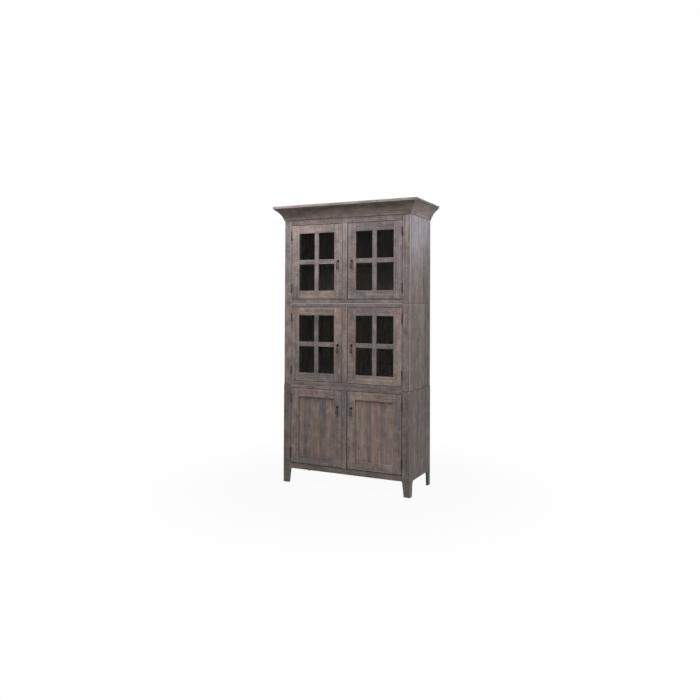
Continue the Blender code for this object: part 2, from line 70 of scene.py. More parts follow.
CAMERA_LENS = 35.065
CAMERA_SHIFT = -0.07553
FLOOR_RADIUS = 14
FLOOR_SIDES = 96
WHITE_FROM = 0.6
WHITE_BY = 2.2
WHITE_SHARE = 0.95
FILL_STRENGTH = 0.42
# Each lamp's place, target, width, height, spread in degrees, watts and colour
LAMPS = {
    "key_light": ((-0.2, -1.9, 3.75), (-0.1, -0.2, 1.7), 1.7, 1.1, 180, 72, "#f8faff"),
    "right_light": ((2.3, 2.6, 3.5), (0.5, 0.0, 2.1), 2.0, 1.4, 180, 60, "#f8faff"),
    "cornice_light": ((2.6, 0.9, 2.65), (0.53, 0.05, 2.0), 0.35, 0.35, 20, 0.8, "#e2eaff"),
}


def linear(hex_text):
    """An sRGB hex colour as the linear values that a socket takes."""
    shares = [int(hex_text[start:start + 2], 16) / 255 for start in (1, 3, 5)]
    return [s / 12.92 if s <= 0.04045 else ((s + 0.055) / 1.055) ** 2.4 for s in shares] + [1]


def feed(tree, node, inputs):
    """Sets or links a node's inputs, given by name or in order. A node stands for its first output."""
    for key, value in inputs.items() if isinstance(inputs, dict) else enumerate(inputs):
        if isinstance(value, bpy.types.Node):
            value = value.outputs[0]
        if isinstance(value, bpy.types.NodeSocket):
            tree.links.new(value, node.inputs[key])
        else:
            node.inputs[key].default_value = value


def add(tree, kind, inputs=(), **settings):
    """A new node with its settings and its inputs: a shader's kind of node unless the kind says other."""
    node = tree.nodes.new(kind if "Node" in kind else "ShaderNode" + kind)
    for key, value in settings.items():
        setattr(node, key, value)
    feed(tree, node, inputs)
    return node


def any_ray(tree, first, *others):
    """1 for rays of any of those kinds, 0 for the rest."""
    path = add(tree, "LightPath")
    found = path.outputs[f"Is {first} Ray"]
    for kind in others:
        found = add(tree, "Math", (found, path.outputs[f"Is {kind} Ray"]), operation="MAXIMUM")
    return found


def new_material(name):
    """A material with its node tree and the shader in it."""
    material = bpy.data.materials.new(name)
    material.use_nodes = True
    return material, material.node_tree, material.node_tree.nodes["Principled BSDF"]


def linked(name, data):
    """A new object in the scene."""
    made = bpy.data.objects.new(name, data)
    scene.collection.objects.link(made)
    return made


def to_mesh(name, bm, sharp_from=None):
    """The bmesh as a mesh: flat, or smooth but for the edges sharper than that many degrees."""
    mesh = bpy.data.meshes.new(name)
    bm.to_mesh(mesh)
    bm.free()
    if sharp_from:
        mesh.shade_smooth()
        mesh.set_sharp_from_angle(angle=math.radians(sharp_from))
    return mesh


scene = bpy.context.scene
scene.view_settings.view_transform = "Standard"

camera = linked("camera", bpy.data.cameras.new("camera"))
camera.matrix_world = (
    Matrix.Translation(CAMERA_PLACE) @ Matrix.Rotation(CAMERA_YAW, 4, "Z")
    @ Matrix.Rotation(math.pi / 2 + CAMERA_PITCH, 4, "X") @ Matrix.Rotation(CAMERA_ROLL, 4, "Z"))
camera.data.lens = CAMERA_LENS
camera.data.shift_y = CAMERA_SHIFT
scene.camera = camera

# What the camera, a reflection or clear glass sees is white; the light that falls on things is dimmer
world = bpy.data.worlds.new("studio")
world.use_nodes = True
scene.world = world
tree = world.node_tree
tree.nodes.clear()
fill = add(tree, "Background", {"Color": linear("#f7f5f3"), "Strength": FILL_STRENGTH})
white = add(tree, "Background", {"Color": linear("#ffffff")})
seen = any_ray(tree, "Camera", "Glossy", "Transmission")
add(tree, "OutputWorld", {"Surface": add(tree, "MixShader", (seen, fill, white))})

bm = bmesh.new()
bmesh.ops.create_circle(bm, cap_ends=True, segments=FLOOR_SIDES, radius=FLOOR_RADIUS)
floor = linked("studio_floor", to_mesh("studio_floor", bm))
paper, tree = new_material("white_studio_paper")[:2]
tree.nodes.clear()
place = add(tree, "TexCoord").outputs["Object"]
distance = add(tree, "VectorMath", [place], operation="LENGTH").outputs["Value"]
fade = add(tree, "MapRange", interpolation_type="SMOOTHSTEP", inputs={
    "Value": distance, "From Min": WHITE_FROM, "From Max": WHITE_BY, "To Min": WHITE_SHARE})
seen = any_ray(tree, "Camera", "Glossy", "Transmission")
blank = add(tree, "Math", (fade, seen), operation="MULTIPLY")
matte = add(tree, "BsdfDiffuse", {"Color": linear("#a5a19d")})
glow = add(tree, "Emission", {"Color": linear("#ffffff")})
add(tree, "OutputMaterial", {"Surface": add(tree, "MixShader", (blank, matte, glow))})
floor.data.materials.append(paper)
floor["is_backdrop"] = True

for name, (place, target, width, height, spread, watts, colour) in LAMPS.items():
    lamp = bpy.data.lights.new(name, "AREA")
    lamp.shape = "RECTANGLE"
    lamp.size = width
    lamp.size_y = height
    lamp.spread = math.radians(spread)
    lamp.energy = watts
    lamp.color = linear(colour)[:3]
    light = linked(name, lamp)
    light.location = place
    light.rotation_euler = (Vector(target) - Vector(place)).to_track_quat("-Z", "Y").to_euler()

# Case sides: three boards of rough-sawn maple, glued edge to edge, with the joints left as fine
# grooves. Those of the base run on to the floor and are sawn out between its two feet.
HANDS = (("left", -1), ("right", 1))
GLUE_LINE = 0.0002
EASED_EDGE = 0.0012
PLANK_EDGE = 0.0025
SEAM_EASE = 0.0026
SIDE_JOINTS = {"upper": (0.36, 0.63), "middle": (0.34, 0.70), "lower": (0.30, 0.65)}
FOOT_HEIGHT = 0.113
SIDE_TOE_WIDTH = 0.044
SIDE_FOOT_WIDTH = 0.051
SHOULDER_WIDTH = 0.015
SHOULDER_HEIGHT = 0.024
FRAME_THICKNESS = 0.020
PINS_REACH = 0.010
# A shape drawn on X and Y that rises along Z, laid to rise along each axis
LAID = {"X": (2, 0, 1), "Y": (0, 2, 1), "Z": (0, 1, 2)}
OWN_LIGHT = 0.12
OWN_WARMTH = 0.10
OWN_PATTERN = 60
draw = random.Random(71)


def stained_wood(name, hexes, painted_rail_shade=0.0, end_grain=False):
    """Rough-sawn maple under a thin weathering stain: the stain sinks in across the grain and in the
    saw's scratches, pools in the joints and is rubbed off the arrises. Beside the doors' gaps the dark
    of its edges is also painted shade of those gaps, and on a few arrises the pale is also a painted
    highlight. Each board carries its own place, half size, tone (light, warm, draw) and finish (saw
    marks, worn arrises, dark edges). An upper end that a rail overhangs is darkened over its last
    70 mm by the share given for it: painted shade of that rail. End grain in the open drinks the stain
    and turns nearly black, but for its rubbed upper arris."""
    material, tree, shader = new_material(name)
    place, half, tone, finish = (add(tree, "Attribute", attribute_name="board_" + word).outputs["Vector"]
                                 for word in ("place", "half", "tone", "finish"))
    light, warm, drawn = add(tree, "SeparateXYZ", [tone]).outputs
    sawn, rubbed, dark_edge = add(tree, "SeparateXYZ", [finish]).outputs
    shift = add(tree, "VectorMath", {0: (11.3, 7.7, 5.1), "Scale": drawn}, operation="SCALE")
    own = add(tree, "VectorMath", (place, shift), operation="ADD")

    # Noises round zero, by their patches to the metre along, across and through the board: stain
    # streaks 30 mm wide, fibres of 5 mm, blotches of 40 mm, marks of 20 mm, and slower drifts
    noises = {}
    for word, per_metre, detail, rough in (
        ("streaks", (1.3, 32, 32), 3, 0.5), ("fibres", (6, 190, 190), 3, 0.6),
        ("blotches", (13, 24, 24), 2, 0.5), ("marks", (50, 30, 30), 2, 0.5),
        ("saw_patches", (5, 9, 9), 1, 0.5), ("warmth", (2.4, 13, 13), 2, 0.5),
        ("rubbing", (18, 60, 60), 2, 0.5),
    ):
        scaled = add(tree, "VectorMath", (own, per_metre), operation="MULTIPLY")
        found = add(tree, "TexNoise", {"Vector": scaled, "Scale": 1, "Detail": detail, "Roughness": rough})
        noises[word] = add(tree, "Math", (found, 0.5), operation="SUBTRACT")
    # Growth rings round a heart in the board's middle, 14 mm apart, coarser than real ones, to show;
    # band-saw scratches across the board, 5 mm apart; and their beat of 17 mm, which shows from afar
    flat = add(tree, "VectorMath", (place, (0.10, 1, 1)), operation="MULTIPLY")
    rings, scratches, beat = (
        add(tree, "TexWave", {"Vector": vector, "Scale": scale, "Distortion": bent, "Detail": detail,
                              "Detail Scale": fine, "Phase Offset": phase}, wave_type=kind).outputs["Fac"]
        for kind, vector, phase, scale, bent, detail, fine in (
            ("RINGS", flat, drawn, 22, 6, 2, 1.2), ("BANDS", own, 0, 62.8, 3, 2, 0.6),
            ("BANDS", own, 0, 18.5, 5, 3, 0.5)))

    # Small pin knots: dark specks with a halo, one to about 0.2 m of board
    spread = add(tree, "VectorMath", (own, (5.5, 15, 15)), operation="MULTIPLY")
    knot = add(tree, "TexVoronoi", {"Vector": spread, "Scale": 1})
    drawn_knot = add(tree, "SeparateXYZ", [knot.outputs["Color"]])
    chosen = add(tree, "Math", (drawn_knot, 0.71), operation="GREATER_THAN")

    # Distances in metres to the board's end, long edge and face, of which the further of the last two
    # is the nearest arris, and to its right or upper end. An arris is rubbed bare up to 5 mm in,
    # fading over 1.2 mm more, and unevenly by up to 3 mm.
    away = add(tree, "VectorMath", [place], operation="ABSOLUTE")
    rim = add(tree, "VectorMath", (half, away), operation="SUBTRACT")
    to_end, to_edge, to_face = add(tree, "SeparateXYZ", [rim]).outputs
    arris = add(tree, "Math", (to_edge, to_face), operation="MAXIMUM")
    arris = add(tree, "Math", (noises["rubbing"], -0.006, arris), operation="MULTIPLY_ADD")
    bare_to = add(tree, "Math", (rubbed, 0.005), operation="MULTIPLY")
    fades_by = add(tree, "Math", (bare_to, 0.0012), operation="ADD")
    rest = add(tree, "VectorMath", (half, place), operation="SUBTRACT")
    to_top = add(tree, "SeparateXYZ", [rest])
    warmth = add(tree, "Math", (noises["warmth"], 1.5, warm), operation="MULTIPLY_ADD")

    # How much of each thing shows: nothing where its measure is at the first value, most at the second
    shown = {}
    for word, measure, none_at, most_at, most in (
        ("warmth", warmth, 0.1, 0.9, 1), ("saw", noises["saw_patches"], -0.08, 0.12, 1),
        ("speck", knot, 0.16, 0.05, 0.55), ("bare", arris, fades_by, bare_to, 1),
        ("pool_and_gap_shade", to_edge, 0.0026, 0.0004, 1), ("end", to_end, 0.004, 0, 0.6),
        ("under_rail_shade", to_top, 0.070, 0.018, painted_rail_shade),
    ):
        shown[word] = add(tree, "MapRange", interpolation_type="SMOOTHSTEP", inputs={
            "Value": measure, "From Min": none_at, "From Max": most_at, "To Max": most})
    saw = add(tree, "Math", (beat, 0.55), operation="MULTIPLY")
    saw = add(tree, "Math", (scratches, 0.45, saw), operation="MULTIPLY_ADD")
    # The dark edges: stain pooled in the joints and, beside the doors' gaps, painted shade of those gaps
    saw, speck, bare, stain_and_gap_shade = (
        add(tree, "Math", pair, operation="MULTIPLY")
        for pair in ((saw, shown["saw"]), (shown["speck"], chosen), (shown["bare"], rubbed),
                     (shown["pool_and_gap_shade"], dark_edge)))
    end = shown["end"]
    if end_grain:
        through = add(tree, "SeparateXYZ", [place]).outputs["Z"]
        under = add(tree, "MapRange", interpolation_type="SMOOTHSTEP", inputs={
            "Value": through, "From Min": 0.0055, "From Max": 0.0025, "To Max": 1.6})
        end = add(tree, "Math", (end, under), operation="MULTIPLY")
    sawn_marks = add(tree, "Math", (noises["marks"], sawn), operation="MULTIPLY")
    sawn_beat = add(tree, "Math", (saw, sawn), operation="MULTIPLY")

    # How pale the stain dried: each pattern moves it from the middle by its share
    value = add(tree, "Math", (sawn, -0.04, 0.45), operation="MULTIPLY_ADD")
    for pattern, share in ((noises["streaks"], 0.34), (noises["fibres"], 0.34), (noises["blotches"], 0.54),
                           (rings, 0.10), (sawn_marks, 0.38), (sawn_beat, 0.10), (light, 0.28)):
        value = add(tree, "Math", (pattern, share, value), operation="MULTIPLY_ADD")
    ramps = []
    for dark, mid, pale in hexes[:2]:
        ramp = add(tree, "ValToRGB", [value])
        stops = ramp.color_ramp.elements
        stops[0].position, stops[0].color = 0.12, linear(dark)
        stops[1].position, stops[1].color = 0.88, linear(pale)
        stops.new(0.5).color = linear(mid)
        ramps.append(ramp)

    # The cool stain is mixed with the warm one, then come the specks, the bare arrises, whose pale on a
    # few edges is also a painted highlight, and the dark, which is stain and, beside gaps and under
    # rails, painted shade
    dark = add(tree, "Math", (stain_and_gap_shade, end), operation="MAXIMUM")
    dark = add(tree, "Math", (dark, shown["under_rail_shade"]), operation="MAXIMUM")
    colour = ramps[0]
    for share, paint in ((shown["warmth"], ramps[1]), (speck, linear(hexes[1][0])),
                         (bare, linear(hexes[2][0])), (dark, linear(hexes[2][1]))):
        colour = add(tree, "Mix", {0: share, 6: colour, 7: paint}, data_type="RGBA").outputs[2]

    # The stain dries matt where it lies thick and dark, and the bare pale wood is a little smoother
    gloss = add(tree, "MapRange", {"Value": value, "To Min": 0.68, "To Max": 0.54})
    height = add(tree, "Math", (noises["fibres"], 0.6, sawn_beat), operation="MULTIPLY_ADD")
    bump = add(tree, "Bump", {"Height": height, "Strength": 0.5, "Distance": 0.0009})
    feed(tree, shader, {"Base Color": colour, "Roughness": gloss, "IOR": 1.48, "Specular IOR Level": 0.30,
                        "Normal": bump})
    return material


# Cool and warm stain tones, each dark, middle and pale; then the rubbed arris, on a few edges also a
# painted highlight, and the stain that pools, also painted shade beside gaps and under rails
STAIN = (("#47413e", "#7a726f", "#a9a09d"), ("#4e413c", "#88766e", "#b8a59a"), ("#bcb1aa", "#2e2725"))
outer_wood = stained_wood("weathered_maple", STAIN)
# Finishes: how much a board shows of the saw marks, the worn arrises and the dark edges
FRONT_FINISH = (1.0, 0.35, 0.25)
SIDE_FINISH = (0.45, 0.20, 0.65)
PLANED_FINISH = (0.3, 0.25, 0.35)


def mark_board(mesh, grain, tone, finish, far_finish=None):
    """Gives a mesh its board's own coordinates: along the grain, across it and through it. The tone is
    how light and warm it is, moved a little by chance, and how much lighter and warmer it grows to its
    right or upper end. The long edge to the right or above may have another finish."""
    light, warm, lighter, warmer = (*tone, 0.0, 0.0)[:4]
    light += draw.uniform(-OWN_LIGHT, OWN_LIGHT)
    warm += draw.uniform(-OWN_WARMTH, OWN_WARMTH)
    drawn = draw.uniform(0, OWN_PATTERN)
    corners = [vertex.co for vertex in mesh.vertices]
    low, high = (Vector([pick(co[i] for co in corners) for i in range(3)]) for pick in (min, max))
    middle, size = (low + high) / 2, (high - low) / 2
    along = "XYZ".index(grain)
    order = [along] + sorted((i for i in range(3) if i != along), key=lambda i: -size[i])
    rows = {"board_place": [], "board_half": [], "board_tone": [], "board_finish": []}
    for co in corners:
        place = co - middle
        share = place[along] / size[along] / 2
        rows["board_place"] += [place[i] for i in order]
        rows["board_half"] += [size[i] for i in order]
        rows["board_tone"] += [light + lighter * share, warm + warmer * share, drawn]
        rows["board_finish"] += far_finish if far_finish and place[order[1]] > 0 else finish
    for name, values in rows.items():
        mesh.attributes.new(name, "FLOAT_VECTOR", "POINT").data.foreach_set("vector", values)


def settle(name, mesh, material, body, node=None):
    """A finished mesh as a piece on its body, standing for the CAD node that it replaces."""
    if not mesh.materials:
        mesh.materials.append(material)
    piece = linked(name, mesh)
    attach(piece, body)
    if node:
        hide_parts(node)


def plain_mesh(blank, name):
    """The mesh that an object's modifiers make; the object itself goes."""
    seen = bpy.context.evaluated_depsgraph_get()
    made = bpy.data.meshes.new_from_object(blank.evaluated_get(seen))
    bpy.data.objects.remove(blank)
    made.name = name
    return made


def lofted(first, last):
    """A closed solid between two rings of points."""
    bm = bmesh.new()
    ends = [[bm.verts.new(point) for point in ring] for ring in (first, last)]
    for end in ends:
        bm.faces.new(end)
    for index in range(len(first)):
        after = (index + 1) % len(first)
        bm.faces.new((ends[0][index], ends[0][after], ends[1][after], ends[1][index]))
    bmesh.ops.recalc_face_normals(bm, faces=bm.faces)
    return bm


def eased_prism(name, outline, axis, low, high, ease=EASED_EDGE, seams=()):
    """A mesh with that outline from low to high along the axis. All its edges are eased, most of all
    those at the heights in seams, where one case stands on another."""
    bm = lofted(*([[(a, b, depth)[i] for i in LAID[axis]] for a, b in outline] for depth in (low, high)))
    weight = bm.edges.layers.float.new("bevel_weight_edge")
    for edge in bm.edges:
        at_seam = any(all(abs(vertex.co.z - z) < GLUE_LINE * 2 for vertex in edge.verts) for z in seams)
        edge[weight] = 1 if at_seam else ease / SEAM_EASE
    blank = linked(name + "_blank", to_mesh(name, bm))
    rounding = blank.modifiers.new("eased_edges", "BEVEL")
    rounding.limit_method = "WEIGHT"
    rounding.width = SEAM_EASE
    rounding.segments = 2
    return plain_mesh(blank, name)


def sawn_board(name, outline, axis, low, high, grain, tone, finish, body, node, ease=EASED_EDGE,
               material=outer_wood, slot="wood", seams=(), far_finish=None):
    mesh = eased_prism(name, outline, axis, low, high, ease, seams)
    mark_board(mesh, grain, tone, finish, far_finish)
    settle(name, mesh, material, body, node)


def block(left, near, right, far):
    """The corners of a rectangle."""
    return [(left, near), (right, near), (right, far), (left, far)]


def square_board(name, low, high, *look, **options):
    sawn_board(name, block(*low[:2], *high[:2]), "Z", low[2], high[2], *look, **options)


def glued(low, high, cuts, joint=GLUE_LINE, ends=0):
    """Where each board from low to high starts and ends: joint away from the cuts, which lie at those
    shares of the way, and ends away from low and high."""
    edges = [low] + [low + (high - low) * cut for cut in cuts] + [high]
    return [(start + (joint if start > low else ends), end - (joint if end < high else ends))
            for start, end in zip(edges, edges[1:])]


def glued_boards(name, node, body, axis, cuts, tones, grain, finish, *look, joint=GLUE_LINE, ends=0):
    """The boards that fill a CAD node's box, glued side by side along X (axis 0) or Y (axis 1)."""
    low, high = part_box(node)
    for index, (start, end) in enumerate(glued(low[axis], high[axis], cuts, joint, ends)):
        low[axis], high[axis] = start, end
        square_board(f"{name}_{index + 1}", low, high, grain, tones[index], finish, body, node, *look)


def clipped(outline, low, high):
    """The part of an outline whose first coordinate lies between low and high."""
    for limit, keep in ((low, 1), (high, -1)):
        found = []
        for start, end in zip(outline, outline[1:] + outline[:1]):
            inside, ends_inside = keep * (start[0] - limit) >= 0, keep * (end[0] - limit) >= 0
            if inside:
                found.append(start)
            if inside != ends_inside:
                share = (limit - start[0]) / (end[0] - start[0])
                found.append((limit, start[1] + (end[1] - start[1]) * share))
        outline = found
    return outline


def side_outline(case, low, high):
    """A side seen from the left or right: square, or in the base with its two feet sawn out."""
    if case != "lower":
        return block(low.y, low.z, high.y, high.z)
    front, rear = low.y - FRAME_THICKNESS, high.y
    foot = [(SIDE_TOE_WIDTH, 0), (SIDE_FOOT_WIDTH, FOOT_HEIGHT - SHOULDER_HEIGHT),
            (SIDE_FOOT_WIDTH + SHOULDER_WIDTH, FOOT_HEIGHT)]
    return ([(low.y, 0)] + [(front + y, z) for y, z in foot] + [(rear - y, z) for y, z in reversed(foot)]
            + [(rear, 0), (rear, high.z), (low.y, high.z)])


def case_seams(case):
    """Heights at which the case meets the one below or above it."""
    low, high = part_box(f"{case}_face_frame")
    return [z for z, met in ((low.z, case != "lower"), (high.z, case != "upper")) if met]


# The upper side's boards grow cooler towards the top, its rear board also lighter, and the middle side's
# boards grow lighter towards the top: painted sheen and painted light falling from above
SIDE_TONES = {
    "upper": ((0.15, 0.45, 0.0, -0.7), (-0.05, 0.35, 0.0, -0.7), (-0.45, 0.35, 0.4, -0.5)),
    "middle": ((0.10, 0.50, 0.40), (0.00, 0.45, 0.60), (-0.42, 0.40, 0.20)),
    "lower": ((-0.12, 0.45), (-0.35, 0.40), (-0.52, 0.25)),
}
for case, joints in SIDE_JOINTS.items():
    for word, hand in HANDS:
        node = f"{case}_{word}_side"
        low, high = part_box(node)
        (high if hand < 0 else low).x += hand * PINS_REACH
        for index, (near, far) in enumerate(glued(low.y, high.y, joints)):
            outline = clipped(side_outline(case, low, high), near, far)
            sawn_board(f"{node}_board_{index + 1}", outline, "X", low.x, high.x, "Z",
                       SIDE_TONES[case][index], SIDE_FINISH, "cabinet", node, PLANK_EDGE,
                       seams=case_seams(case))

# Face frames: stiles the full height of each case with a mullion and two rails let in between them.
# The base's stiles run down as the front feet, sawn narrower on the inside towards the floor.
STILE_WIDTH = 0.0635
MULLION_WIDTH = 0.0435
RAIL_WIDTHS = {"upper": (0.0295, 0.130), "middle": (0.031, 0.0275), "lower": (0.043, 0.022)}
FRONT_TOE_WIDTH = 0.050
FRAME_MEMBERS = ("left_stile", "right_stile", "mullion", "bottom_rail", "top_rail")
FRAME_TONES = {
    "upper": ((0.22, 0.35), (0.12, 0.35), (0.3, 0.6, 0.9), (0.1, 0.3, -0.5), (-0.2, 0.4)),
    "middle": ((0.18, 0.5), (0.20, 0.45), (-0.05, 0.55), (0.12, 0.3, 0.35), (-0.2, 0.25, -0.5)),
    "lower": ((-0.42, 0.35), (-0.20, 0.45), (0.0, 0.4, -0.5), (0.0, 0.4), (-0.15, 0.3)),
}
# The right stiles' outer arris and the middle case's top one are rubbed the most, and their pale is
# also a painted highlight of the light that catches them. Along the edges under the doors and, on the
# mullion, next to the right door, the dark is partly pooled stain and partly painted shade of the gaps.
WORN_AND_HIGHLIT_EDGE = (1.0, 0.85, 0.25)
DARK_EDGE = (1.0, 0.15, 1.0)
MULLION_FINISH = (1.0, 0.35, 0.0)
FAR_FINISHES = {
    "upper_right_stile": WORN_AND_HIGHLIT_EDGE, "middle_right_stile": WORN_AND_HIGHLIT_EDGE, "lower_right_stile": (1.0, 0.5, 0.25),
    "upper_bottom_rail": DARK_EDGE, "middle_top_rail": WORN_AND_HIGHLIT_EDGE, "lower_bottom_rail": DARK_EDGE,
    "upper_mullion": (1.0, 0.2, 1.0), "middle_mullion": (1.0, 0.35, 0.3), "lower_mullion": (1.0, 0.2, 0.8),
}
for case, (bottom_rail, top_rail) in RAIL_WIDTHS.items():
    node = f"{case}_face_frame"
    low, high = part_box(node)
    floor_height = FOOT_HEIGHT if case == "lower" else low.z
    seams = case_seams(case)
    tones = dict(zip(FRAME_MEMBERS, FRAME_TONES[case]))
    inner = high.x - STILE_WIDTH
    for word, hand in HANDS:
        name = f"{case}_{word}_stile"
        outline = [(hand * inner, high.z), (hand * high.x, high.z), (hand * high.x, low.z)]
        if case == "lower":
            outline += [(hand * (high.x - FRONT_TOE_WIDTH), low.z), (hand * inner, floor_height)]
        else:
            outline += [(hand * inner, low.z)]
        sawn_board(name, outline, "Y", low.y, high.y, "Z", tones[f"{word}_stile"], FRONT_FINISH, "cabinet",
                   node, seams=seams, far_finish=FAR_FINISHES.get(name))
    middle = (floor_height + bottom_rail, high.z - top_rail)
    for word, foot, top in (("bottom_rail", floor_height, middle[0]), ("top_rail", middle[1], high.z)):
        name = f"{case}_{word}"
        square_board(name, (-inner + GLUE_LINE, low.y, foot), (inner - GLUE_LINE, high.y, top), "X",
                     tones[word], FRONT_FINISH, "cabinet", node, seams=seams,
                     far_finish=FAR_FINISHES.get(name))
    square_board(f"{case}_mullion", (-MULLION_WIDTH / 2, low.y, middle[0] + GLUE_LINE),
                 (MULLION_WIDTH / 2, high.y, middle[1] - GLUE_LINE), "Z", tones["mullion"], MULLION_FINISH,
                 "cabinet", node, far_finish=FAR_FINISHES[f"{case}_mullion"])

# Backs, floors, tops and the base's shelf: the same maple planed smooth and stained browner, where
# no hand wears it, and painted darker as the shade inside the closed case. The backs are upright
# boards, screwed from behind into the sides.
INSIDE_STAIN = (("#36302d", "#56504b", "#7a7069"), ("#3c342f", "#60554d", "#83766b"), ("#8a7d70", "#221d1a"))
inside_wood = stained_wood("planed_stained_maple", INSIDE_STAIN)
INSIDE_TONE = (0.0, 0.5)
BACK_BOARDS = 9
BACK_EDGE = 0.0009
UNEVEN = 0.16
for case in RAIL_WIDTHS:
    cuts = [(index + draw.uniform(-UNEVEN, UNEVEN)) / BACK_BOARDS for index in range(1, BACK_BOARDS)]
    glued_boards(f"{case}_back_board", f"{case}_back", "cabinet", 0, cuts, [INSIDE_TONE] * BACK_BOARDS, "Z",
                 PLANED_FINISH, BACK_EDGE, inside_wood, "back_board", ends=GLUE_LINE)
for node in ("lower_bottom_board", "lower_top_board", "lower_wood_shelf", "middle_bottom_board",
             "middle_top_board", "upper_bottom_board"):
    glued_boards(node, node, "cabinet", 1, [0.5], [INSIDE_TONE] * 2, "X", PLANED_FINISH, EASED_EDGE,
                 inside_wood, "inside_wood")

# Glazed doors: two stiles, two rails and a cross of muntins, with one sheet of glass in the groove
# behind the muntins' front half. The glass shelves are 8 mm float with ground arrises.
DOOR_STILE_WIDTH = 0.067
DOOR_RAIL_WIDTH = 0.0645
DOOR_THICKNESS = 0.020
MUNTIN_WIDTH = 0.035
GROOVE_REACH = 0.0087
GLASS_BEHIND = 0.0073
DOOR_EDGE = 0.0014
GROUND_ARRIS = 0.0008
DOOR_MEMBERS = ("hinge_stile", "meeting_stile", "top_rail", "bottom_rail")
DOOR_TONES = {
    "upper_left": ((0.32, 0.5, 1.1, 0.9), (0.12, 0.42, 0.45, 0.2), (0.25, 0.6, -0.5, -0.3), (0.35, 0.85)),
    "upper_right": ((-0.05, 0.4), (0.1, 0.45), (-0.65, 0.25, -0.4), (0.0, 0.35)),
    "middle_left": ((0.05, 0.55, -0.35), (0.1, 0.55, 1.2, 0.5), (0.15, 0.65), (0.08, 0.35)),
    "middle_right": ((0.22, 0.7), (0.16, 0.55), (0.0, 0.4, 0.7), (0.42, 0.65, 0.85)),
    "lower_left": ((-0.05, 0.45), (0.05, 0.55), (0.22, 0.55), (-0.28, 0.25)),
    "lower_right": ((0.05, 0.4), (0.3, 0.7), (0.33, 0.75, -0.75), (0.17, 0.55, 0.8, 0.4)),
}
MUNTIN_TONES = {"upper_left": (0.32, 0.3), "upper_right": (0.08, 0.25), "middle_left": (0.0, -0.2),
                "middle_right": (0.05, -0.2)}
# The doors' outer edges are dark, partly with stain and partly with painted shade of the gaps round
# the doors; the sight edges hardly. Those that meet the mullion, by case: hardly darkened on the left
# door, and most on the right, where the painted shade of the gap beside the mullion is deepest.
OUTER_EDGE = (1.0, 0.3, 0.7)
SIGHT_EDGE = (1.0, 0.3, 0.2)
MEETING_FAR = (1.0, 0.3, 0.1)
MEETING_NEAR = {"upper": DARK_EDGE, "middle": (1.0, 0.3, 0.55), "lower": DARK_EDGE}


def door_members(door, hand, filling):
    """Makes a door's stiles and rails round the sheet in their groove, and gives the sight opening."""
    body = f"{door}_door"
    node = f"{body}_frame"
    low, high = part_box(filling)
    sight = (low.x + GROOVE_REACH, high.x - GROOVE_REACH, low.z + GROOVE_REACH, high.z - GROOVE_REACH)
    front = low.y - GLASS_BEHIND
    rear = front + DOOR_THICKNESS
    foot, top = sight[2] - DOOR_RAIL_WIDTH, sight[3] + DOOR_RAIL_WIDTH
    tones = dict(zip(DOOR_MEMBERS, DOOR_TONES[door]))
    stiles = [("hinge_stile", OUTER_EDGE, SIGHT_EDGE), ("meeting_stile", SIGHT_EDGE, MEETING_FAR)]
    if hand > 0:
        stiles = [("meeting_stile", MEETING_NEAR[door.split("_")[0]], SIGHT_EDGE),
                  ("hinge_stile", SIGHT_EDGE, OUTER_EDGE)]
    for (word, finish, far_finish), left in zip(stiles, (sight[0] - DOOR_STILE_WIDTH, sight[1])):
        square_board(f"{body}_{word}", (left, front, foot), (left + DOOR_STILE_WIDTH, rear, top), "Z",
                     tones[word], finish, body, node, DOOR_EDGE, far_finish=far_finish)
    for word, base, finish, far_finish in (("bottom_rail", foot, DARK_EDGE, SIGHT_EDGE),
                                           ("top_rail", sight[3], SIGHT_EDGE, OUTER_EDGE)):
        square_board(f"{body}_{word}", (sight[0] + GLUE_LINE, front, base),
                     (sight[1] - GLUE_LINE, rear, base + DOOR_RAIL_WIDTH), "X", tones[word], finish, body,
                     node, DOOR_EDGE, far_finish=far_finish)
    return sight, front, rear


def clear_glass(name, tint, ior):
    """Float glass: flat, a little green through its iron and slightly wavy in what it mirrors. Light
    that falls on the shelves inside passes it straight, as it nearly does in a thin pane."""
    material, tree, shader = new_material(name)
    place = add(tree, "TexCoord").outputs["Object"]
    waves = add(tree, "TexNoise", {"Vector": place, "Scale": 7.0, "Detail": 1.0})
    bump = add(tree, "Bump", {"Height": waves, "Strength": 0.3, "Distance": 0.001})
    feed(tree, shader, {"Base Color": linear(tint), "Transmission Weight": 1, "Roughness": 0, "IOR": ior,
                        "Normal": bump})
    clear = add(tree, "BsdfTransparent", {"Color": linear("#f6f8f7")})
    falling = any_ray(tree, "Shadow", "Diffuse", "Glossy")
    both = add(tree, "MixShader", (falling, shader, clear))
    feed(tree, tree.nodes["Material Output"], {"Surface": both})
    return material


